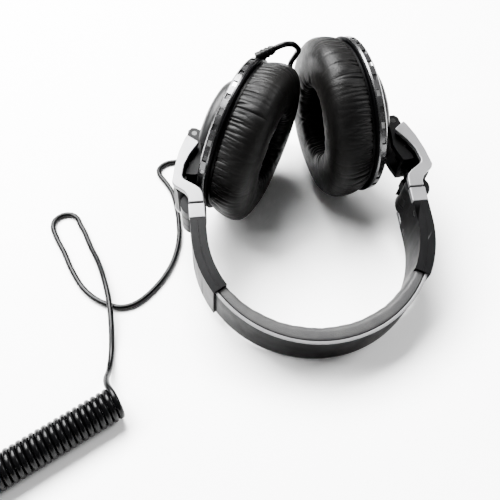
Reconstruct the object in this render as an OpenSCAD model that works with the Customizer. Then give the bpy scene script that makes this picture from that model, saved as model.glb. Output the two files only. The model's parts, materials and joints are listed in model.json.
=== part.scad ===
// Folding closed-back headphones with a curly cord, lying on their ear cups.
// Millimetres. The band frame has x to the side, y away from the crown and z to the front,
// with its origin at the centre of the headband's arc.

/* [Headband] */
// Radius of the headband's outer face
band_r = 64; // [62:0.5:66]
// Width of the headband
band_w = 27; // [24:1:28]
// Thickness of the leather pad at the crown
crown_pad_t = 6; // [4:0.5:7]

/* [Sliders and arms] */
// Width of each slider and arm, front to back
arm_w = 30; // [28:0.5:32]
// Thickness of each slider
slider_t = 8.4; // [8:0.2:9]
// Thickness of the silver plates on the arms
plate_t = 3.2; // [2:0.1:3.4]

/* [Ear cups] */
// Radius of the seam between the cup and its pad
cup_r = 46; // [44:0.5:47]
// Thickness of the ear pad
pad_t = 23; // [18:0.5:23]
// Radius of the hole in the ear pad
ear_hole_r = 20; // [19:0.5:24]
// Radius of the round cap on the back of the cup
dome_r = 30; // [29:0.5:31]
// Angle that the left cup turns its pad toward the crown
left_toe = 30; // [20:1:30]
// Angle that the right cup turns its pad toward the crown
right_toe = 8; // [0:1:10]

/* [Cord] */
// Diameter of the cord
cord_d = 3.2; // [3:0.1:3.6]
// Outer diameter of the coiled stretch
coil_d = 17.5; // [16:0.5:19]
// Length of the coiled stretch at rest
coil_len = 146; // [100:2:160]

/* [Hidden] */

LEFT = -1;
RIGHT = 1;
$fn = 64;
gap = 0.05;

// How the object lies: crown and both cups touch the floor
lie_tilt = 14.35;
lie_roll = 3;
arc_place = [0, -29.6];
arc_drop = band_r * sqrt(pow(sin(lie_tilt), 2) + pow(sin(lie_roll) * cos(lie_tilt), 2));
arc_z = arc_drop + band_w / 2 * cos(lie_roll) * cos(lie_tilt);

// Headband layers, as radii
band_end = 60;
cover_r = band_r - 0.9;
spring_r = cover_r - 0.1;
spring_t = 1;
spring_w = 16;
frame_r = spring_r - spring_t - 0.05;
frame_t = 2.35;
pad_r = frame_r - frame_t - 0.1;
pad_shift = 5;
trim_t = 1.1;
trim_depth = 1.5;

// Slider sleeve and its straight channel
sleeve_r = 61;
sleeve_in = sleeve_r - slider_t / 2;
sleeve_out = sleeve_r + slider_t / 2;
slide_angle = 10;
rail_w = 14;
rail_len = 42;
rail_start = (spring_r - spring_t / 2) * [cos(90 - band_end), -sin(90 - band_end)];
block_y = 10.7;
block_end = 19.6;
slider_screw_at = [5, 11.5];

// Fold hinge between slider and arm
fold_at = [62.5, 21.5];
knuckle_r = 7;
knuckle_half = 4;
core_half = 11.5;
fold_pin_r = 2;
run_fit = 0.05;

// Swivel hinge along the arm, and tilt hinge at its end
swivel_at = [62.4, 43];
swivel_angle = 12;
swivel_r = 2.9;
swivel_pin_r = 1.2;
tilt_at = [58.5, 68];
tilt_pin_r = 1.5;
eye_r = 4.2;
fork_in = 6.2;
fork_out = 10;
lug_half = 5.8;

// Ear cup, measured from the centre of its seam: x to the front, y away from the crown,
// z toward the ear
cup_from_tilt = [0, 15.8, 21.2];
back_z = -7.9;
dome_top = -18;
recess_half = 16.5;
recess_from = 7;

// Cord
relief_len = 13.5;
relief_base = [cup_r - 3, -4.2];
relief_lean = 45;
floor_z = cord_d / 2;
lead_points = [
    [-8.293, 59.679, 91.494], [-6.013, 59.587, 92.675], [-1.514, 59.974, 93.672],
    [2.678, 61.328, 92.267], [5.23, 63.218, 88.906], [6.487, 64.977, 85.305],
    [4.74, 68.24, 78.65], [3, 71.5, 72], [3.6, 74.3, 63], [4, 77.3, 52], [4, 80, 41],
    [3, 82, 30], [0.5, 83, 20], [-3.5, 83, 11.5], [-9, 82, 5], [-15.5, 79.5, 2],
    [-23, 76.5, floor_z], [-31, 73.5, floor_z], [-42, 71, floor_z], [-58, 71, floor_z],
    [-72, 72, floor_z], [-80, 71.5, floor_z], [-85, 67, floor_z], [-85, 61, floor_z],
    [-81, 53, floor_z], [-77, 43, floor_z], [-75, 31, floor_z], [-74, 18, floor_z],
    [-74.5, 3, floor_z], [-78, -12, floor_z], [-84, -24, floor_z], [-92, -34, floor_z],
    [-100, -40.5, floor_z], [-107.5, -42.5, floor_z], [-115, -40.5, floor_z],
    [-124, -34.5, floor_z], [-132, -25, floor_z], [-139, -11, floor_z], [-144, 2, floor_z],
    [-148.5, 12, floor_z], [-150.9, 18.2, floor_z], [-152.49, 23.7, floor_z],
    [-151.7, 29.38, floor_z], [-147.3, 33.06, floor_z], [-141.57, 32.86, floor_z],
    [-137.45, 28.88, floor_z], [-135.5, 23.4, floor_z], [-132.4, 16.6, floor_z],
    [-128, 4, 2], [-122.5, -10, 3.2], [-118, -26, 5], [-115, -41, 5.6], [-113.5, -57, 4.6],
    [-113.5, -71, 2.4], [-114, -83, 4.5], [-114.3, -91, 9.5], [-112.9, -97, 13.4],
    [-110.7, -101.1, 15.4], [-109.05, -104.2, coil_d - floor_z]];
coil_start = [-110.5, -105, coil_d / 2];
coil_turn = 208.5;
coil_end = coil_start + coil_len * [cos(coil_turn), sin(coil_turn), 0];
tail_points = [
    [-240.25, -175.45, coil_d - floor_z], [-238.3, -179.1, 14.95], [-236.8, -183.4, 11.9],
    [-236.4, -188.5, 6.9], [-237.6, -194.5, 2.9], [-238.6, -200.5, floor_z],
    [-236.8, -206, 2], [-231.5, -209.4, 3.6], [-224, -210, 5]];
plug_at = [-224, -210, 5];
plug_r = 5;
plug_len = 24;
jack_r = 1.75;
jack_len = 14;

// Places children given in the band frame
module in_band() {
    translate([arc_place[0], arc_place[1], arc_z])
        rotate([lie_tilt, 0, 0])
            rotate([0, lie_roll, 0])
                children();
}

// Places children given for the right-hand side on either side
module on_side(side) {
    in_band()
        if (side == LEFT)
            mirror([1, 0, 0]) children();
        else
            children();
}

// Places children given in the ear cup's own frame
module at_cup(side) {
    toe = side == LEFT ? left_toe : right_toe;
    on_side(side)
        translate([tilt_at[0], tilt_at[1], 0])
            rotate([0, 0, toe])
                rotate([0, -90, 0])
                    translate(cup_from_tilt)
                        children();
}

// Places children at the swivel axis, with y along it
module at_swivel() {
    translate([swivel_at[0], swivel_at[1], 0])
        rotate([0, 0, swivel_angle])
            children();
}

module ring_sector(r_in, r_out, w, a_from, a_to) {
    rotate([0, 0, a_from])
        rotate_extrude(angle = a_to - a_from, $fn = 128)
            translate([r_in, -w / 2])
                square([r_out - r_in, w]);
}

module band_layer(r_in, r_out, w) {
    ring_sector(r_in, r_out, w, -90 - band_end, -90 + band_end);
}

// A rod along y from y0 to y1
module rod_y(r, y0, y1) {
    translate([0, y0, 0])
        rotate([-90, 0, 0])
            cylinder(r = r, h = y1 - y0);
}

// A plate with the outline of points, between two heights
module plate(points, z0, z1) {
    translate([0, 0, z0])
        linear_extrude(z1 - z0)
            polygon(points);
}

// The straight rail or its channel, at the mouth of the slider
module rail(w, t, start, length) {
    translate([rail_start[0], rail_start[1], 0])
        rotate([0, 0, -slide_angle])
            translate([-t / 2, start, -w / 2])
                cube([t, length, w]);
}

module headband_spring() {
    color("silver")
        in_band() {
            band_layer(spring_r - spring_t, spring_r, spring_w);
            for (s = [0, 1])
                mirror([s, 0, 0])
                    rail(rail_w, spring_t, -0.4, rail_len);
        }
}

module headband_frame() {
    color([0.12, 0.12, 0.13])
        in_band()
            band_layer(frame_r - frame_t, frame_r, band_w - 1.2);
}

module headband_cover() {
    color([0.08, 0.08, 0.09])
        in_band()
            band_layer(cover_r, band_r, band_w - 2 * trim_t - 2 * gap);
}

module headband_trims() {
    color("silver")
        in_band()
            for (s = [-1, 1])
                translate([0, 0, s * (band_w - trim_t) / 2])
                    band_layer(band_r - trim_depth, band_r, trim_t);
}

module headband_pad() {
    inner_r = pad_r - crown_pad_t + pad_shift;
    color([0.45, 0.45, 0.46])
        in_band()
            intersection() {
                difference() {
                    cylinder(r = pad_r, h = band_w - 1, center = true, $fn = 128);
                    translate([0, pad_shift, 0])
                        cylinder(r = inner_r, h = band_w, center = true, $fn = 128);
                }
                band_layer(40, band_r, band_w);
            }
}

// One half of the sleeve, between two radii, with the channel cut out
module sleeve_half(r_in, r_out) {
    difference() {
        union() {
            ring_sector(r_in, r_out, arm_w, band_end - 90, 0);
            translate([r_in, -gap, -arm_w / 2])
                cube([r_out - r_in, block_y + gap, arm_w]);
        }
        rail(rail_w + 1, spring_t + 0.8, -8, rail_len + 10);
        slider_screw_holes();
    }
}

module slider_screw_holes() {
    for (s = [-1, 1])
        translate([sleeve_in - 1, slider_screw_at[0], s * slider_screw_at[1]])
            rotate([0, 90, 0]) {
                cylinder(r = 1.1, h = slider_t);
                cylinder(r = 2.1, h = 2.2);
            }
}

module slider_outer_shell(side) {
    color([0.13, 0.13, 0.14])
        on_side(side)
            sleeve_half(sleeve_r + gap, sleeve_out);
}

module slider_inner_shell(side) {
    color([0.13, 0.13, 0.14])
        on_side(side)
            sleeve_half(sleeve_in, sleeve_r - gap);
}

module slider_screws(side) {
    color("silver")
        on_side(side)
            for (s = [-1, 1])
                translate([sleeve_in, slider_screw_at[0], s * slider_screw_at[1]])
                    rotate([0, 90, 0]) {
                        translate([0, 0, 0.2])
                            cylinder(r = 2, h = 0.95);
                        cylinder(r = 1, h = slider_t - 1.2);
                    }
}

module hinge_block(side) {
    color([0.07, 0.07, 0.08])
        on_side(side)
            difference() {
                union() {
                    translate([sleeve_in, block_y + gap, -core_half + 0.1])
                        cube([slider_t, block_end - block_y - gap, 2 * core_half - 0.2]);
                    translate([fold_at[0], fold_at[1], 0])
                        cylinder(r = knuckle_r, h = 2 * core_half - 0.2, center = true);
                }
                translate([fold_at[0], fold_at[1], 0]) {
                    cylinder(r = knuckle_r + 0.5, h = 2 * knuckle_half, center = true);
                    cylinder(r = fold_pin_r + run_fit, h = arm_w, center = true);
                }
            }
}

module hinge_caps(side) {
    color("lightgray")
        on_side(side)
            for (s = [-1, 1])
                translate([sleeve_in - 0.2, block_y + 0.2, s > 0 ? core_half : -arm_w / 2])
                    cube([slider_t + 0.4, block_end - block_y - 0.2, arm_w / 2 - core_half]);
}

module fold_pin(side) {
    color("silver")
        on_side(side)
            translate([fold_at[0], fold_at[1], 0])
                cylinder(r = fold_pin_r, h = 2 * core_half - 0.4, center = true);
}

core_outline = [[57.4, 30], [60.3, 31], [66.6, 35.4], [67.6, 37.5], [66.2, 43.5], [61.5, 52],
    [57.2, 58.4], [62.7, 62.8], [67.6, 53.3], [70.6, 44], [72.6, 33.8], [70.6, 29.5],
    [66, 29.2], [60, 29.2]];

module arm_core(side) {
    color([0.07, 0.07, 0.08])
        on_side(side)
            difference() {
                union() {
                    plate(core_outline, -core_half, core_half);
                    translate([fold_at[0], fold_at[1], 0])
                        cylinder(r = knuckle_r, h = 2 * knuckle_half - 0.6, center = true);
                    translate([fold_at[0] - 5, fold_at[1] + 3, 0.3 - knuckle_half])
                        cube([12, 7, 2 * knuckle_half - 0.6]);
                    at_swivel() {
                        rod_y(swivel_r, -10, -6.7);
                        rod_y(swivel_r, 1.3, 6.5);
                    }
                }
                translate([fold_at[0], fold_at[1], 0])
                    cylinder(r = fold_pin_r + run_fit, h = arm_w, center = true);
                translate([40, 50, -10.6])
                    cube([40, 20, 21.2]);
                at_swivel() {
                    rod_y(swivel_pin_r + run_fit, -9.7, 9);
                    rod_y(swivel_r + 0.4, -6.7, 1.3);
                }
            }
}

plate_outline = [[56.8, 20.4], [65, 20.4], [65.2, 24], [67, 27.5], [72, 31.5], [73.1, 33.8],
    [71, 44], [68, 53.5], [64.2, 61.6], [62.8, 63.6], [61.8, 63.2], [57, 59.2], [56.6, 58.3],
    [57.2, 57.4], [62, 51.2], [65.6, 44.5], [67.2, 38], [67, 36.2], [66, 34.9], [60.5, 31],
    [58.3, 29], [57.1, 26.4]];

module arm_plates(side) {
    color("lightgray")
        on_side(side) {
            plate(plate_outline, arm_w / 2 - plate_t, arm_w / 2);
            plate(plate_outline, -arm_w / 2, plate_t - arm_w / 2);
        }
}

module swivel_pin(side) {
    color("silver")
        on_side(side)
            at_swivel()
                rod_y(swivel_pin_r, -9.6, 6.5);
}

fork_outline = [[57.5, 71.5], [55.3, 70], [54.6, 67], [55.5, 62], [55.5, 56.5], [55, 51.5],
    [56.5, 46.6], [59, 40.5], [61.4, 40.5], [65.2, 41.2], [65.2, 43.4], [61.3, 50.4],
    [61.6, 50.9], [65.4, 51],
    [66.2, 53], [64.4, 60], [62.8, 66], [61.8, 70], [59.8, 71.8]];

module swivel_yoke(side) {
    color([0.1, 0.1, 0.11])
        on_side(side)
            difference() {
                union() {
                    plate(fork_outline, fork_in, fork_out);
                    plate(fork_outline, -fork_out, -fork_in);
                    translate([59, 40.5, -fork_out])
                        cube([2, 2.6, 2 * fork_out]);
                    translate([59.2, 38, -2.4])
                        cube([3, 5, 4.8]);
                    at_swivel()
                        rod_y(swivel_r, -6.4, 1);
                }
                translate([tilt_at[0], tilt_at[1], 0])
                    cylinder(r = tilt_pin_r + run_fit, h = arm_w, center = true);
                at_swivel()
                    rod_y(swivel_pin_r + run_fit, -9, 9);
            }
}

module tilt_pin(side) {
    color("silver")
        on_side(side)
            translate([tilt_at[0], tilt_at[1], 0])
                cylinder(r = tilt_pin_r, h = 2 * fork_out, center = true);
}

// The outside of the dome, as a share of its radius and its depth below the top
dome_profile = [[0, 0], [0.4, 0.15], [0.66, 0.6], [0.8, 1.3], [0.9, 2.4], [0.96, 4], [1, 7]];

// The floor of the recess that the yoke moves in
recess_profile = [[0, -16.5], [10, -16.3], [17, -15.5], [22, -13.9], [25.5, -11.7], [27.4, -9.5],
    [28, -8]];

module dome_solid() {
    rotate_extrude($fn = 96)
        polygon(concat([for (p = dome_profile) [p[0] * dome_r, dome_top + p[1]]],
            [[dome_r, back_z - 0.1], [0, back_z - 0.1]]));
}

module recess_floor(grow, low) {
    rotate_extrude($fn = 96)
        polygon(concat([for (p = recess_profile) [p[0] + (p[0] > 0 ? grow : 0), p[1] - grow]],
            [[28 + grow, low], [0, low]]));
}

// The space in the dome around the yoke and the arm
module dome_recess() {
    difference() {
        translate([-recess_half, -40, -30])
            cube([2 * recess_half, 40 - recess_from, 25]);
        recess_floor(0, -4);
    }
}

lug_outline = [[-12, -24.6], [-15.8, -25.4], [-19.4, -24.4], [-29, -19], [-31.5, -14],
    [-33.5, back_z - 0.1], [-8, back_z - 0.1], [-8, -18]];

module cup_bracket(side) {
    color([0.1, 0.1, 0.11])
        at_cup(side)
            difference() {
                translate([lug_half, 0, 0])
                    rotate([0, -90, 0])
                        linear_extrude(2 * lug_half)
                            polygon([for (p = lug_outline) [p[1], p[0]]]);
                recess_floor(0.15, -4);
                translate([0, -cup_from_tilt[1], -cup_from_tilt[2]])
                    rotate([0, 90, 0])
                        cylinder(r = tilt_pin_r + run_fit, h = arm_w, center = true);
            }
}

module cup_dome(side) {
    color([0.2, 0.2, 0.21])
        at_cup(side)
            difference() {
                dome_solid();
                dome_recess();
                translate([0, 0, -13.5])
                    cylinder(r = 20, h = 10);
                translate([0, 0, -10.5])
                    cylinder(r = 25, h = 10);
            }
}

module cup_housing(side) {
    color([0.09, 0.09, 0.1])
        at_cup(side)
            rotate_extrude($fn = 96)
                polygon([[24, back_z], [39, back_z], [42, -6.6], [cup_r - 5, -6.6],
                    [cup_r - 5, -1.6], [cup_r - 0.6, -1.6], [cup_r + 0.4, -0.7],
                    [cup_r - 0.2, 0], [cup_r - 7, 0], [cup_r - 7, -5.8], [24, -5.8]]);
}

module cup_ring(side) {
    notches = 32;
    color("silver")
        at_cup(side)
            difference() {
                rotate_extrude($fn = 96)
                    polygon([[cup_r - 4.9, -6.5], [cup_r - 1.4, -6.5], [cup_r - 0.4, -5.6],
                        [cup_r - 0.2, -2.6], [cup_r - 0.8, -1.7], [cup_r - 4.9, -1.7]]);
                for (i = [0 : notches - 1])
                    rotate([0, 0, i * 360 / notches])
                        translate([cup_r - 1.2, -1.8, -5.3])
                            cube([4, 3.6, 2.5]);
            }
}

module baffle(side) {
    color([0.1, 0.1, 0.11])
        at_cup(side)
            rotate_extrude($fn = 64)
                polygon([[20.2, -1.4], [cup_r - 7.2, -1.4], [cup_r - 7.2, 0.2], [20.2, 0.2]]);
}

module driver_frame(side) {
    color([0.16, 0.16, 0.17])
        at_cup(side)
            rotate_extrude($fn = 64)
                polygon([[8.2, -5.4], [13, -5.4], [19, -2.6], [20, -2.6], [20, 0.2], [18.4, 0.2],
                    [18.4, -1.2], [12, -4], [8.2, -4]]);
}

module driver_magnet(side) {
    color("gray")
        at_cup(side)
            translate([0, 0, -11])
                difference() {
                    cylinder(r = 8, h = 7.6);
                    translate([0, 0, 5])
                        cylinder(r = 6.2, h = 3);
                }
}

module diaphragm(side) {
    color("gainsboro")
        at_cup(side)
            rotate_extrude($fn = 64)
                polygon([[0, 0], [4, -0.3], [7.2, -1.2], [11, 0], [18.3, -0.9], [18.3, -0.6],
                    [11, 0.3], [7.2, -0.9], [4, 0], [0, 0.3]]);
}

module driver_grille(side) {
    color([0.15, 0.15, 0.16])
        at_cup(side)
            difference() {
                translate([0, 0, 0.4])
                    cylinder(r = 23, h = 0.8);
                for (ring = [[1, 0], [6, 7], [12, 14]])
                    for (i = [1 : ring[0]])
                        rotate([0, 0, i * 360 / ring[0]])
                            translate([ring[1], 0, 0])
                                cylinder(r = 1.8, h = 3, $fn = 32);
            }
}

module pad_ring(side) {
    color([0.12, 0.12, 0.13])
        at_cup(side)
            rotate_extrude($fn = 64)
                polygon([[27, 0.3], [cup_r - 2, 0.3], [cup_r - 2, 1.6], [27, 1.6]]);
}

pad_profile = [[cup_r - 0.5, 1.8], [cup_r + 1, 3.5], [cup_r + 1.5, 8], [cup_r + 1.1, 12],
    [cup_r - 0.5, 16.5], [cup_r - 3.5, 20.5], [cup_r - 8, pad_t - 0.6], [cup_r - 12, pad_t],
    [ear_hole_r + 5, pad_t - 1.5], [ear_hole_r + 1, pad_t - 6], [ear_hole_r, 12],
    [ear_hole_r + 1, 4], [ear_hole_r + 3, 1.8]];

module ear_pad(side) {
    color([0.07, 0.07, 0.07])
        at_cup(side)
            rotate_extrude($fn = 96)
                polygon(pad_profile);
}

// Tapered cord guard on the left cup's rim
module strain_relief() {
    color([0.05, 0.05, 0.05])
        at_cup(LEFT)
            rotate([0, 0, 45])
                translate([relief_base[0] + 2.5, 0, relief_base[1]])
                    rotate([0, 90 - relief_lean, 0]) {
                        cylinder(r1 = 3, r2 = 2.2, h = relief_len - 2.5);
                        for (i = [0 : 2])
                            translate([0, 0, 3.4 + 2.5 * i])
                                cylinder(r = 3.1 - 0.2 * i, h = 1.3);
                    }
}

function unit(v) = v / norm(v);
function heading(p, i) = unit(p[min(i + 1, len(p) - 1)] - p[max(i - 1, 0)]);
function across(d) = unit(cross(d, abs(d[2]) > 0.9 ? [0, 1, 0] : [0, 0, 1]));
function ring_at(p, d, r, sides) = [for (k = [0 : sides - 1])
    p + r * (cos(k * 360 / sides) * across(d) + sin(k * 360 / sides) * cross(across(d), d))];
// A tube of the cord's diameter along points
module cord_tube(points, sides) {
    rings = [for (i = [0 : len(points) - 1])
        ring_at(points[i], heading(points, i), cord_d / 2, sides)];
    last = len(points) - 1;
    skin = [for (i = [0 : last - 1]) for (k = [0 : sides - 1])
        [i * sides + k, i * sides + (k + 1) % sides,
            (i + 1) * sides + (k + 1) % sides, (i + 1) * sides + k]];
    polyhedron(
        points = [for (r = rings) for (p = r) p],
        faces = concat([[for (k = [0 : sides - 1]) sides - 1 - k]], skin,
            [[for (k = [0 : sides - 1]) last * sides + k]]),
        convexity = 10);
}

module cord_lead() {
    color([0.05, 0.05, 0.05])
        cord_tube(lead_points, 8);
}

module cord_coil() {
    color([0.05, 0.05, 0.05])
        translate(coil_start)
            rotate([0, 0, coil_turn])
                rotate([0, 90, 0])
                    cylinder(r = coil_d / 2, h = coil_len);
}

module cord_tail() {
    color([0.05, 0.05, 0.05])
        cord_tube(tail_points, 8);
}

module plug_sleeve() {
    color([0.08, 0.08, 0.08])
        translate(plug_at)
            rotate([0, 90, 0])
                translate([0, 0, 0.05]) {
                    cylinder(r1 = 2.6, r2 = 4, h = 10);
                    translate([0, 0, 10])
                        cylinder(r = plug_r, h = plug_len);
                }
}

module plug_body() {
    color("gold")
        translate(plug_at)
            rotate([0, 90, 0])
                translate([0, 0, 10 + plug_len + 0.1]) {
                    cylinder(r = 3.2, h = 2);
                    translate([0, 0, 2])
                        cylinder(r = jack_r, h = jack_len - 2);
                    translate([0, 0, jack_len])
                        cylinder(r1 = jack_r, r2 = 0.7, h = 2);
                }
}

headband_spring();
headband_frame();
headband_cover();
headband_trims();
headband_pad();
slider_outer_shell(LEFT);  // left_slider_outer_shell
slider_inner_shell(LEFT);  // left_slider_inner_shell
slider_screws(LEFT);  // left_slider_screws
hinge_block(LEFT);  // left_hinge_block
hinge_caps(LEFT);  // left_hinge_caps
fold_pin(LEFT);  // left_fold_pin
arm_core(LEFT);  // left_arm_core
arm_plates(LEFT);  // left_arm_plates
swivel_pin(LEFT);  // left_swivel_pin
swivel_yoke(LEFT);  // left_swivel_yoke
tilt_pin(LEFT);  // left_tilt_pin
cup_bracket(LEFT);  // left_cup_bracket
cup_dome(LEFT);  // left_cup_dome
cup_housing(LEFT);  // left_cup_housing
cup_ring(LEFT);  // left_cup_ring
baffle(LEFT);  // left_baffle
driver_frame(LEFT);  // left_driver_frame
driver_magnet(LEFT);  // left_driver_magnet
diaphragm(LEFT);  // left_diaphragm
driver_grille(LEFT);  // left_driver_grille
pad_ring(LEFT);  // left_pad_ring
ear_pad(LEFT);  // left_ear_pad
slider_outer_shell(RIGHT);  // right_slider_outer_shell
slider_inner_shell(RIGHT);  // right_slider_inner_shell
slider_screws(RIGHT);  // right_slider_screws
hinge_block(RIGHT);  // right_hinge_block
hinge_caps(RIGHT);  // right_hinge_caps
fold_pin(RIGHT);  // right_fold_pin
arm_core(RIGHT);  // right_arm_core
arm_plates(RIGHT);  // right_arm_plates
swivel_pin(RIGHT);  // right_swivel_pin
swivel_yoke(RIGHT);  // right_swivel_yoke
tilt_pin(RIGHT);  // right_tilt_pin
cup_bracket(RIGHT);  // right_cup_bracket
cup_dome(RIGHT);  // right_cup_dome
cup_housing(RIGHT);  // right_cup_housing
cup_ring(RIGHT);  // right_cup_ring
baffle(RIGHT);  // right_baffle
driver_frame(RIGHT);  // right_driver_frame
driver_magnet(RIGHT);  // right_driver_magnet
diaphragm(RIGHT);  // right_diaphragm
driver_grille(RIGHT);  // right_driver_grille
pad_ring(RIGHT);  // right_pad_ring
ear_pad(RIGHT);  // right_ear_pad
strain_relief();
cord_lead();
cord_coil();
cord_tail();
plug_sleeve();
plug_body();
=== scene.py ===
"""Looks of the folding headphones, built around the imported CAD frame. Metres."""
import json
import math
import bmesh
import bpy
import numpy as np
from mathutils import Matrix, Vector


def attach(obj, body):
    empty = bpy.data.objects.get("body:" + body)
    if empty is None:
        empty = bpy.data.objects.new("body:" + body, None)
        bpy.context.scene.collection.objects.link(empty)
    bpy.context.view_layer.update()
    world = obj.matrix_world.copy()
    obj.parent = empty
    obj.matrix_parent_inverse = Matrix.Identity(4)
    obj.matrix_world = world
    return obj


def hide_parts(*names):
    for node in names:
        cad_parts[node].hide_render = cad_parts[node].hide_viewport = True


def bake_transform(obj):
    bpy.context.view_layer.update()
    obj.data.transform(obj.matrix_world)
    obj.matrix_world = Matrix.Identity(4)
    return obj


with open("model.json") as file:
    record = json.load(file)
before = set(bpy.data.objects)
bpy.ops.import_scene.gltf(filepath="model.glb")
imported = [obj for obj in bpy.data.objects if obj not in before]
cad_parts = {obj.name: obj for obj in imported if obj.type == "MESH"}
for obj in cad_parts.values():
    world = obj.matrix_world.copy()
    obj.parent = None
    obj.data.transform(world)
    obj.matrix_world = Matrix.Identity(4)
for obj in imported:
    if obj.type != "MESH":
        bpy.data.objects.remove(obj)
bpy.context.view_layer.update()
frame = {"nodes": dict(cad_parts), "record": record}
MM = 0.001

# ---------------------------------------------------------------- places shared with the CAD part
LIE_TILT, LIE_ROLL = 14.35, 3.0
ARC_PLACE = (0.0, -29.6)
BAND_R, BAND_W, BAND_END = 64.0, 27.0, 60.0
TILT_AT = (58.5, 68.0)
CUP_FROM_TILT = (0.0, 15.8, 21.2)
TOE = {"left": 30.0, "right": 8.0}
CUP_R, HOLE_R = 46.0, 20.0
CORD_D = 3.2
COIL_D, COIL_LEN, COIL_TURN = 17.5, 146.0, 208.5
FLOOR_Z = CORD_D / 2


def rot(angle, axis):
    return Matrix.Rotation(math.radians(angle), 4, axis)


def band_matrix():
    t, r = math.radians(LIE_TILT), math.radians(LIE_ROLL)
    drop = BAND_R * math.hypot(math.sin(t), math.sin(r) * math.cos(t))
    z = drop + BAND_W / 2 * math.cos(r) * math.cos(t)
    return (Matrix.Scale(MM, 4) @ Matrix.Translation((ARC_PLACE[0], ARC_PLACE[1], z))
            @ rot(LIE_TILT, "X") @ rot(LIE_ROLL, "Y"))


def side_matrix(side):
    m = band_matrix()
    return m @ Matrix.Scale(-1, 4, (1, 0, 0)) if side == "left" else m


def cup_matrix(side):
    return (side_matrix(side) @ Matrix.Translation((TILT_AT[0], TILT_AT[1], 0))
            @ rot(TOE[side], "Z") @ rot(-90, "Y") @ Matrix.Translation(CUP_FROM_TILT))


# ---------------------------------------------------------------- camera
def look(location, target, roll, lens):
    cam = bpy.data.objects.new("camera", bpy.data.cameras.new("camera"))
    bpy.context.collection.objects.link(cam)
    cam.data.lens = lens
    cam.data.sensor_width = 36
    cam.data.clip_start = 0.01
    cam.location = location
    aim = (Vector(target) - Vector(location)).to_track_quat("-Z", "Y").to_matrix().to_4x4()
    cam.matrix_world = Matrix.Translation(location) @ aim @ rot(roll, "Z")
    bpy.context.scene.camera = cam


look((-0.0494, -0.2568, 0.3074), (-0.0322, -0.0094, 0.0), -2.8, 47.1)


# ---------------------------------------------------------------- materials
class Nodes:
    """A short way to write a node material."""

    def __init__(self, name, **values):
        self.mat = bpy.data.materials.new(name)
        self.mat.use_nodes = True
        self.tree = self.mat.node_tree
        self.shader = self.tree.nodes["Principled BSDF"]
        self.coords = self.tree.nodes.new("ShaderNodeTexCoord").outputs["Object"]
        for key, value in values.items():
            self.shader.inputs[key.replace("_", " ")].default_value = value

    def add(self, kind, **values):
        n = self.tree.nodes.new("ShaderNode" + kind)
        for key, value in values.items():
            if key == "feature":
                n.feature = value
            else:
                n.inputs[key.replace("_", " ")].default_value = value
        return n

    def link(self, out, into):
        self.tree.links.new(out, into)

    def noise(self, scale, detail=4.0, rough=0.55):
        n = self.add("TexNoise", Scale=scale, Detail=detail, Roughness=rough)
        self.link(self.coords, n.inputs["Vector"])
        return n.outputs["Fac"]

    def cells(self, scale, feature="F1"):
        n = self.add("TexVoronoi", feature=feature, Scale=scale)
        self.link(self.coords, n.inputs["Vector"])
        return n.outputs["Distance"]

    def between(self, fac, low, high, source=(0.3, 0.7)):
        n = self.add("MapRange", From_Min=source[0], From_Max=source[1], To_Min=low, To_Max=high)
        self.link(fac, n.inputs["Value"])
        return n.outputs["Result"]

    def ramp(self, fac, stops):
        n = self.tree.nodes.new("ShaderNodeValToRGB")
        e = n.color_ramp.elements
        while len(e) < len(stops):
            e.new(0.5)
        for item, (at, colour) in zip(e, stops):
            item.position = at
            item.color = (*colour, 1)
        self.link(fac, n.inputs["Fac"])
        return n.outputs["Color"]

    def bump(self, height, distance, strength=1.0, onto=None):
        n = self.add("Bump", Distance=distance, Strength=strength)
        self.link(height, n.inputs["Height"])
        if onto is not None:
            self.link(onto, n.inputs["Normal"])
        return n.outputs["Normal"]

    def colour(self, out):
        self.link(out, self.shader.inputs["Base Color"])

    def rough(self, out):
        self.link(out, self.shader.inputs["Roughness"])

    def normal(self, out):
        self.link(out, self.shader.inputs["Normal"])


def leather(name, dark, light, rough, grain, sheen, spec):
    m = Nodes(name, Specular_IOR_Level=spec, Sheen_Weight=sheen, Sheen_Roughness=0.45)
    m.shader.inputs["Sheen Tint"].default_value = (0.75, 0.71, 0.66, 1)
    broad = m.noise(55, 3)
    m.colour(m.ramp(broad, [(0.3, dark), (0.72, light)]))
    m.rough(m.between(m.noise(210, 3), rough - 0.06, rough + 0.07))
    pebbles = m.bump(m.cells(grain), 0.00014, 0.55)
    creases = m.bump(m.cells(grain * 0.33, "DISTANCE_TO_EDGE"), 0.00008, 0.3, pebbles)
    m.normal(m.bump(m.noise(380, 5), 0.00012, 0.35, creases))
    return m.mat


def moulded(name, dark, light, rough, grain=2600, depth=0.00003, coat=0.0, spec=0.35):
    m = Nodes(name, Specular_IOR_Level=spec, Coat_Weight=coat, Coat_Roughness=0.08)
    m.colour(m.ramp(m.noise(40, 3), [(0.3, dark), (0.7, light)]))
    m.rough(m.between(m.noise(90, 4), rough - 0.05, rough + 0.06))
    m.normal(m.bump(m.noise(grain, 2), depth, 0.5))
    return m.mat


def painted_silver(name, colour, rough, metal=0.75):
    m = Nodes(name, Metallic=metal, Specular_IOR_Level=0.5, Coat_Weight=0.15,
              Coat_Roughness=0.12)
    low = tuple(c * 0.9 for c in colour)
    m.colour(m.ramp(m.noise(60, 4), [(0.3, low), (0.7, colour)]))
    m.rough(m.between(m.noise(150, 4), rough - 0.04, rough + 0.07))
    flakes = m.bump(m.cells(5200), 0.00001, 0.25)
    m.normal(m.bump(m.noise(240, 3), 0.00002, 0.2, flakes))
    return m.mat


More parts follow.
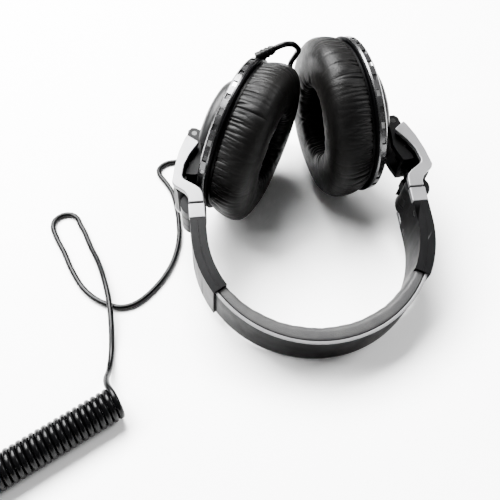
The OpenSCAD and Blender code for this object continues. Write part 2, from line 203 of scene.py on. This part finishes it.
def metal(name, colour, rough, brushed=0.3):
    m = Nodes(name, Metallic=1.0, Anisotropic=brushed)
    low = tuple(c * 0.82 for c in colour)
    m.colour(m.ramp(m.noise(120, 4), [(0.3, low), (0.7, colour)]))
    m.rough(m.between(m.noise(420, 4), rough - 0.05, rough + 0.08))
    m.normal(m.bump(m.noise(900, 3), 0.00002, 0.3))
    return m.mat


def rubber(name, dark, light, rough, coat):
    m = Nodes(name, Specular_IOR_Level=0.12, Coat_Weight=coat, Coat_Roughness=0.12)
    m.colour(m.ramp(m.noise(70, 3), [(0.3, dark), (0.7, light)]))
    m.rough(m.between(m.noise(160, 4), rough - 0.05, rough + 0.08))
    m.normal(m.bump(m.noise(1300, 3), 0.00003, 0.3))
    return m.mat


MATS = {
    "pad_leather": leather("pad_leather", (0.0012, 0.0012, 0.0013), (0.0034, 0.0032, 0.003),
                           0.47, 1500, 0.012, 0.15),
    "band_leather": leather("band_leather", (0.026, 0.026, 0.027), (0.046, 0.0455, 0.045),
                            0.5, 1300, 0.03, 0.25),
    "black_satin": moulded("black_satin", (0.0025, 0.0025, 0.0028), (0.005, 0.005, 0.0053),
                           0.42, spec=0.1),
    "black_gloss": moulded("black_gloss", (0.0016, 0.0016, 0.0018), (0.003, 0.003, 0.0033),
                           0.36, spec=0.03),
    "dome_grey": moulded("dome_grey", (0.012, 0.012, 0.0125), (0.018, 0.018, 0.0185),
                         0.36, 3200, 0.00002, spec=0.2),
    "silver": painted_silver("silver", (0.17, 0.17, 0.174), 0.38, 0.55),
    "ring_metal": painted_silver("ring_metal", (0.10, 0.10, 0.102), 0.24, 0.9),
    # bright mirror metal for the painted glints (painted highlights) on the cup rings
    "painted_glint": metal("painted_glint", (0.92, 0.92, 0.92), 0.12, 0.0),
    "black_steel": painted_silver("black_steel", (0.012, 0.012, 0.012), 0.35, 0.6),
    "steel": metal("steel", (0.5, 0.5, 0.51), 0.3),
    "cord_rubber": rubber("cord_rubber", (0.0015, 0.0015, 0.0017), (0.003, 0.003, 0.0033),
                          0.26, 0.06),
    "gold": metal("gold", (0.80, 0.60, 0.28), 0.2),
    "film": moulded("film", (0.45, 0.45, 0.46), (0.6, 0.6, 0.6), 0.25),
}


# ---------------------------------------------------------------- mesh helpers
def piece(name, mesh, mat):
    obj = bpy.data.objects.new(name, mesh)
    bpy.context.collection.objects.link(obj)
    mesh.materials.clear()
    mesh.materials.append(MATS[mat])
    return obj


def grid_mesh(name, rows, close_u, close_v):
    """A mesh over a grid of points. rows is (n, m, 3), closed along n and m where asked."""
    n, m = rows.shape[:2]
    verts = rows.reshape(-1, 3)
    faces = []
    for i in range(n if close_u else n - 1):
        for j in range(m if close_v else m - 1):
            a, b = i * m + j, i * m + (j + 1) % m
            c, d = ((i + 1) % n) * m + (j + 1) % m, ((i + 1) % n) * m + j
            faces.append((a, d, c, b))
    mesh = bpy.data.meshes.new(name)
    mesh.from_pydata([tuple(v) for v in verts], [], faces)
    mesh.update()
    bm = bmesh.new()
    bm.from_mesh(mesh)
    bmesh.ops.recalc_face_normals(bm, faces=bm.faces)
    bm.to_mesh(mesh)
    bm.free()
    mesh.polygons.foreach_set("use_smooth", [True] * len(mesh.polygons))
    return mesh


def applied(obj):
    """The object's mesh with its modifiers applied, and none left."""
    bpy.context.view_layer.update()
    shot = obj.evaluated_get(bpy.context.evaluated_depsgraph_get())
    mesh = bpy.data.meshes.new_from_object(shot)
    obj.modifiers.clear()
    obj.data = mesh
    return obj


def soften(node, body, mat, width, segments=3, angle=32):
    """A rounded-edge copy of a CAD node that stands for it."""
    bm = bmesh.new()
    bm.from_mesh(frame["nodes"][node].data)
    bm.transform(frame["nodes"][node].matrix_world)
    bmesh.ops.remove_doubles(bm, verts=bm.verts, dist=2e-6)
    bmesh.ops.dissolve_limit(bm, angle_limit=math.radians(0.6), verts=bm.verts, edges=bm.edges,
                             delimit=set())
    mesh = bpy.data.meshes.new(node + "_shaped")
    bm.to_mesh(mesh)
    bm.free()
    obj = piece(node + "_shaped", mesh, mat)
    bevel = obj.modifiers.new("edge", "BEVEL")
    bevel.width = width * MM
    bevel.segments = segments
    bevel.limit_method = "ANGLE"
    bevel.angle_limit = math.radians(angle)
    bevel.use_clamp_overlap = True
    bevel.miter_outer = "MITER_ARC"
    applied(obj)
    me = obj.data
    me.polygons.foreach_set("use_smooth", [True] * len(me.polygons))
    me.set_sharp_from_angle(angle=math.radians(38))
    weighted = obj.modifiers.new("weighted", "WEIGHTED_NORMAL")
    weighted.keep_sharp = True
    applied(obj)
    obj.data.materials.clear()
    obj.data.materials.append(MATS[mat])
    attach(obj, body)
    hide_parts(node)
    return obj


# ---------------------------------------------------------------- cord
LEAD = [
    (-8.293, 59.679, 91.494), (-6.013, 59.587, 92.675), (-1.514, 59.974, 93.672),
    (2.678, 61.328, 92.267), (5.23, 63.218, 88.906), (6.487, 64.977, 85.305),
    (4.74, 68.24, 78.65), (3, 71.5, 72), (3.6, 74.3, 63), (4, 77.3, 52), (4, 80, 41),
    (3, 82, 30), (0.5, 83, 20), (-3.5, 83, 11.5), (-9, 82, 5), (-15.5, 79.5, 2),
    (-23, 76.5, FLOOR_Z), (-31, 73.5, FLOOR_Z), (-42, 71, FLOOR_Z), (-58, 71, FLOOR_Z),
    (-72, 72, FLOOR_Z), (-80, 71.5, FLOOR_Z), (-85, 67, FLOOR_Z), (-85, 61, FLOOR_Z),
    (-81, 53, FLOOR_Z), (-77, 43, FLOOR_Z), (-75, 31, FLOOR_Z), (-74, 18, FLOOR_Z),
    (-74.5, 3, FLOOR_Z), (-78, -12, FLOOR_Z), (-84, -24, FLOOR_Z), (-92, -34, FLOOR_Z),
    (-100, -40.5, FLOOR_Z), (-107.5, -42.5, FLOOR_Z), (-115, -40.5, FLOOR_Z),
    (-124, -34.5, FLOOR_Z), (-132, -25, FLOOR_Z), (-139, -11, FLOOR_Z), (-144, 2, FLOOR_Z),
    (-148.5, 12, FLOOR_Z), (-150.9, 18.2, FLOOR_Z), (-152.49, 23.7, FLOOR_Z),
    (-151.7, 29.38, FLOOR_Z), (-147.3, 33.06, FLOOR_Z), (-141.57, 32.86, FLOOR_Z),
    (-137.45, 28.88, FLOOR_Z), (-135.5, 23.4, FLOOR_Z), (-132.4, 16.6, FLOOR_Z),
    (-128, 4, 2), (-122.5, -10, 3.2), (-118, -26, 5), (-115, -41, 5.6), (-113.5, -57, 4.6),
    (-113.5, -71, 2.4), (-114, -83, 4.5), (-114.3, -91, 9.5), (-112.9, -97, 13.4),
    (-110.7, -101.1, 15.4), (-109.05, -104.2, COIL_D - FLOOR_Z)]
TAIL = [
    (-240.25, -175.45, COIL_D - FLOOR_Z), (-238.3, -179.1, 14.95), (-236.8, -183.4, 11.9),
    (-236.4, -188.5, 6.9), (-237.6, -194.5, 2.9), (-238.6, -200.5, FLOOR_Z),
    (-236.8, -206, 2), (-231.5, -209.4, 3.6), (-224, -210, 5)]
COIL_START = (-110.5, -105.0)
COIL_TURNS = 46
COIL_MARGIN = 1.65


def spline(points, step):
    """Points a step apart on the smooth curve through the given ones."""
    p = np.array(points, float)
    p = np.vstack([2 * p[0] - p[1], p, 2 * p[-1] - p[-2]])
    out = []
    for i in range(1, len(p) - 2):
        a, b, c, d = p[i - 1:i + 3]
        n = max(2, int(np.linalg.norm(c - b) / step))
        for t in np.arange(n) / n:
            out.append(0.5 * (2 * b + (c - a) * t + (2 * a - 5 * b + 4 * c - d) * t ** 2
                              + (3 * b - a - 3 * c + d) * t ** 3))
    return np.array(out + [p[-2]])


def helix():
    turn = math.radians(COIL_TURN)
    along = np.array([math.cos(turn), math.sin(turn), 0])
    aside = np.array([-math.sin(turn), math.cos(turn), 0])
    n = COIL_TURNS * 20
    t = np.linspace(0, 1, n + 1)[1:-1, None]
    start = np.array([*COIL_START, COIL_D / 2])
    phi = math.pi / 2 - 2 * math.pi * COIL_TURNS * t
    r = COIL_D / 2 - FLOOR_Z
    middle = start + along * (-COIL_MARGIN + (COIL_LEN + 2 * COIL_MARGIN) * t)
    return middle + r * (np.cos(phi) * aside + np.sin(phi) * np.array([0, 0, 1.0]))


def tube(name, path, radius, sides):
    """A tube along the path, with its ends closed."""
    n = len(path)
    tangents = np.gradient(path, axis=0)
    tangents /= np.linalg.norm(tangents, axis=1)[:, None]
    side = np.cross(tangents[0], [0.0, 0.0, 1.0])
    side /= np.linalg.norm(side)
    angles = np.arange(sides) * 2 * math.pi / sides
    rows = []
    for i in range(n):
        side = side - tangents[i] * side.dot(tangents[i])
        side /= np.linalg.norm(side)
        other = np.cross(tangents[i], side)
        ring = np.cos(angles)[:, None] * side + np.sin(angles)[:, None] * other
        rows.append(path[i] + radius * ring)
    mesh = grid_mesh(name, np.array(rows), False, True)
    bm = bmesh.new()
    bm.from_mesh(mesh)
    bmesh.ops.holes_fill(bm, edges=[e for e in bm.edges if e.is_boundary], sides=sides + 1)
    bm.to_mesh(mesh)
    bm.free()
    return mesh


cord_path = np.vstack([spline(LEAD, 2.0), helix(), spline(TAIL, 1.5)]) * MM
cord = piece("cord", tube("cord", cord_path, CORD_D / 2 * MM, 12), "cord_rubber")
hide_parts("cord_lead", "cord_coil", "cord_tail")


# ---------------------------------------------------------------- ear pads
def resample(profile, count):
    """count points evenly along the smooth closed profile."""
    p = np.array(profile, float)
    q = np.vstack([p[-1], p, p[0], p[1]])
    fine = []
    for i in range(1, len(q) - 2):
        a, b, c, d = q[i - 1:i + 3]
        for t in np.arange(24) / 24:
            fine.append(0.5 * (2 * b + (c - a) * t + (2 * a - 5 * b + 4 * c - d) * t ** 2
                               + (3 * b - a - 3 * c + d) * t ** 3))
    fine = np.array(fine)
    step = np.linalg.norm(np.diff(np.vstack([fine, fine[:1]]), axis=0), axis=1)
    s = np.concatenate([[0], np.cumsum(step)])
    want = np.linspace(0, s[-1], count, endpoint=False)
    closed = np.vstack([fine, fine[:1]])
    return np.column_stack([np.interp(want, s, closed[:, k]) for k in (0, 1)]), want


PAD_PROFILE = [
    (CUP_R - 1.6, 2.0), (CUP_R - 0.2, 3.2), (CUP_R + 1.0, 7), (CUP_R + 1.6, 11.5),
    (CUP_R + 1.2, 15.8), (CUP_R - 0.8, 19.6), (CUP_R - 5.0, 22.4), (CUP_R - 10.8, 23.4),
    (HOLE_R + 8, 23.3), (HOLE_R + 2.6, 22.2), (HOLE_R, 18.6), (HOLE_R + 0.6, 8),
    (HOLE_R + 4, 2.1), (CUP_R - 12, 1.9)]


def creases(angle, s, at, radius, depth, width, reach, lean, start):
    """How deep the leather is drawn in, summed over its creases. s is the way up from the seam."""
    out = np.zeros_like(angle)
    for k in range(len(at)):
        d = (angle - at[k] - lean[k] * s / radius + math.pi) % (2 * math.pi) - math.pi
        wide = width[k] * (0.8 + 0.8 * np.clip((s - start) / reach[k], 0, 1))
        fade = np.exp(-np.clip((s - start) / reach[k], 0, 9) ** 2.2)
        out += depth[k] * fade * np.exp(-np.abs(d * radius / wide) ** 1.5)
    return out


def ear_pad(side, seed):
    rng = np.random.default_rng(seed)
    across, along = 84, 1500
    prof, s = resample(PAD_PROFILE, across)
    nxt, prv = np.roll(prof, -1, axis=0), np.roll(prof, 1, axis=0)
    tan = nxt - prv
    tan /= np.linalg.norm(tan, axis=1)[:, None]
    outward = np.column_stack([tan[:, 1], -tan[:, 0]])
    if np.dot(outward[across // 6], [1, 0]) < 0:
        outward = -outward
    angle = np.linspace(0, 2 * math.pi, along, endpoint=False)
    A, S = np.meshgrid(angle, s, indexing="ij")
    count = 112
    at = (np.arange(count) + rng.uniform(-0.32, 0.32, count)) * 2 * math.pi / count
    drawn = creases(A, S, at, CUP_R, rng.uniform(0.25, 0.95, count), rng.uniform(0.42, 0.7, count),
                    rng.uniform(5, 15, count), rng.uniform(-0.12, 0.12, count), 1.0)
    small = 70
    at2 = rng.uniform(0, 2 * math.pi, small)
    drawn += creases(A, S, at2, CUP_R, rng.uniform(0.1, 0.35, small), rng.uniform(0.35, 0.6, small),
                     rng.uniform(9, 20, small), rng.uniform(-0.3, 0.3, small), 1.0)
    rise = s[np.argmin(np.hypot(prof[:, 0] - HOLE_R, prof[:, 1] - 18.6))]
    inner = 60
    at3 = (np.arange(inner) + rng.uniform(-0.45, 0.45, inner)) * 2 * math.pi / inner
    down = np.abs(S - rise)
    drawn += creases(A, down, at3, HOLE_R, rng.uniform(0.1, 0.7, inner),
                     rng.uniform(0.5, 0.9, inner), rng.uniform(4, 9, inner),
                     rng.uniform(-0.4, 0.4, inner), 1.0)
    wave = sum(a * np.sin(k * A + p) * np.sin(S / 9 + q) for k, a, p, q in zip(
        (2, 3, 5, 7, 11), (0.22, 0.24, 0.18, 0.1, 0.06),
        rng.uniform(0, 6.3, 5), rng.uniform(0, 6.3, 5)))
    shift = wave - drawn
    r = prof[None, :, 0] + outward[None, :, 0] * shift
    z = prof[None, :, 1] + outward[None, :, 1] * shift
    z = np.maximum(z, 1.7)
    pts = np.stack([r * np.cos(A), r * np.sin(A), z], axis=-1)
    m = np.array(cup_matrix(side))
    pts = pts @ m[:3, :3].T + m[:3, 3]
    pts[..., 2] = np.maximum(pts[..., 2], 0.0001)   # the foam gives way where it rests
    obj = piece(f"{side}_pad_leather", grid_mesh(f"{side}_pad_leather", pts, True, True),
                "pad_leather")
    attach(obj, f"{side}_cup")
    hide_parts(f"{side}_ear_pad")
    return obj


pads = {"left": ear_pad("left", 7), "right": ear_pad("right", 19)}

# ---------------------------------------------------------------- headband padding
COVER_R = BAND_R - 0.9
FRAME_IN = COVER_R - 0.1 - 1 - 0.05 - 2.35
PAD_R = FRAME_IN - 0.1


def band_pad():
    n = 240
    ends = np.linspace(-BAND_END + 0.3, BAND_END - 0.3, n)
    half = (BAND_W - 0.5) / 2
    section = 44
    rows = []
    for i, a in enumerate(ends):
        t = math.radians(a)
        thick = max(0.7, 6.0 - 5.0 * (1 - math.cos(t)) * 1.02)
        u = np.linspace(0, 2 * math.pi, section, endpoint=False)
        low = np.sin(u) < 0          # the side that fills the band up to its trims
        w = np.sign(np.cos(u)) * np.abs(np.cos(u)) ** np.where(low, 0.1, 0.42)
        h = np.sign(np.sin(u)) * np.abs(np.sin(u)) ** np.where(low, 0.3, 0.62)
        crown = 0.5 * thick * (1 + h)
        crown = np.where(h > 0, crown * (1 - 0.10 * w ** 2), crown)
        ripple = 0.06 * math.sin(a * 0.31) + 0.05 * np.sin(a * 0.83 + 2.2 * w)
        crown = crown + np.where(h > 0.2, ripple, 0)
        rad = PAD_R + 2.95 - np.clip(crown * (thick + 2.95) / thick, 0, None)
        x = rad * math.sin(t)
        y = -rad * math.cos(t)
        rows.append(np.column_stack([x, y, half * w]))
    pts = np.array(rows)
    m = np.array(band_matrix())
    pts = pts @ m[:3, :3].T + m[:3, 3]
    mesh = grid_mesh("band_pad_leather", pts, False, True)
    bm = bmesh.new()
    bm.from_mesh(mesh)
    bmesh.ops.holes_fill(bm, edges=[e for e in bm.edges if e.is_boundary], sides=section + 1)
    bmesh.ops.recalc_face_normals(bm, faces=bm.faces)
    bm.to_mesh(mesh)
    bm.free()
    obj = piece("band_pad_leather", mesh, "band_leather")
    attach(obj, "headband")
    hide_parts("headband_pad")
    return obj


band_pad()

# ---------------------------------------------------------------- hard pieces
SLOTS = {s["node"]: s["material_slot"] for s in frame["record"]["subparts"]}
NOTCH_STEP = 11.25          # degrees between the notches of a cup ring
NOTCH_FLOOR_R = CUP_R - 1.2
NOTCH_Z = (-5.3, -2.7)
soften("headband_cover", "headband", "black_gloss", 0.25)
soften("headband_frame", "headband", "black_gloss", 0.3)
soften("headband_trims", "headband", "silver", 0.25)
for side in ("left", "right"):
    for part, body, mat, width in (
            ("slider_outer_shell", "slider", "black_satin", 0.6),
            ("slider_inner_shell", "slider", "black_satin", 0.6),
            ("slider_screws", "slider", "black_steel", 0.2),
            ("hinge_block", "slider", "black_satin", 0.4),
            ("hinge_caps", "slider", "silver", 0.55),
            ("arm_core", "arm", "black_satin", 0.45),
            ("arm_plates", "arm", "silver", 0.6),
            ("swivel_yoke", "yoke", "black_satin", 0.5),
            ("cup_bracket", "cup", "black_satin", 0.6),
            ("cup_dome", "cup", "dome_grey", 0.5),
            ("cup_housing", "cup", "black_gloss", 0.25),
            ("cup_ring", "cup", "ring_metal", 0.2),
            ("driver_grille", "cup", "black_satin", 0.2)):
        node = f"{side}_{part}"
        made = soften(node, f"{side}_{body}", mat, width)
        # every other notch floor of each cup ring gets the bright mirror metal: painted glints
        # standing in for the ring's highlights
        if part == "cup_ring":
            made.data.materials.append(MATS["painted_glint"])
            back = cup_matrix(side).inverted()
            for face in made.data.polygons:
                c = back @ face.center
                r = math.hypot(c.x, c.y)
                notch = round(math.degrees(math.atan2(c.y, c.x)) / NOTCH_STEP)
                if (abs(r - NOTCH_FLOOR_R) < 0.25 and NOTCH_Z[0] < c.z < NOTCH_Z[1]
                        and face.area > 2e-6 and notch % 2 == 0):
                    face.material_index = 1
soften("strain_relief", "left_cup", "cord_rubber", 0.25)
sleeve = soften("plug_sleeve", "left_yoke", "black_satin", 0.4)
jack = soften("plug_body", "left_yoke", "gold", 0.2)

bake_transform(cord)

# CAD nodes that stay as they are, mostly out of sight
for node, obj in frame["nodes"].items():
    if not obj.hide_render:
        obj.data.materials.clear()
        obj.data.materials.append(MATS[SLOTS[node]])

# ---------------------------------------------------------------- floor and light
bpy.ops.mesh.primitive_plane_add(size=6, location=(0, 0, -0.0002))
floor = bpy.context.object
floor.name = "floor"
paper = Nodes("paper", Roughness=0.9, Specular_IOR_Level=0.1)
paper.colour(paper.ramp(paper.noise(3, 2), [(0.3, (0.93,) * 3), (0.7, (0.95,) * 3)]))
floor.data.materials.append(paper.mat)

world = bpy.data.worlds.new("world")
world.use_nodes = True
world.node_tree.nodes["Background"].inputs["Color"].default_value = (1, 1, 1, 1)
world.node_tree.nodes["Background"].inputs["Strength"].default_value = 0.3
bpy.context.scene.world = world
bpy.context.scene.view_settings.look = "AgX - Medium High Contrast"


def area(name, location, target, size, power):
    light = bpy.data.objects.new(name, bpy.data.lights.new(name, "AREA"))
    light.data.shape = "RECTANGLE"
    light.data.size, light.data.size_y = size
    light.data.energy = power
    light.location = location
    light.rotation_euler = (Vector(target) - Vector(location)).to_track_quat("-Z", "Y").to_euler()
    bpy.context.collection.objects.link(light)


area("key", (-0.3, 0.5, 0.95), (0, 0, 0.03), (0.95, 0.75), 84)
area("fill", (0.9, 0.1, 0.8), (0, 0, 0.03), (0.4, 0.4), 10)
area("side", (-0.9, 0.1, 0.8), (0, 0, 0.03), (0.4, 0.4), 10)

bpy.context.view_layer.update()
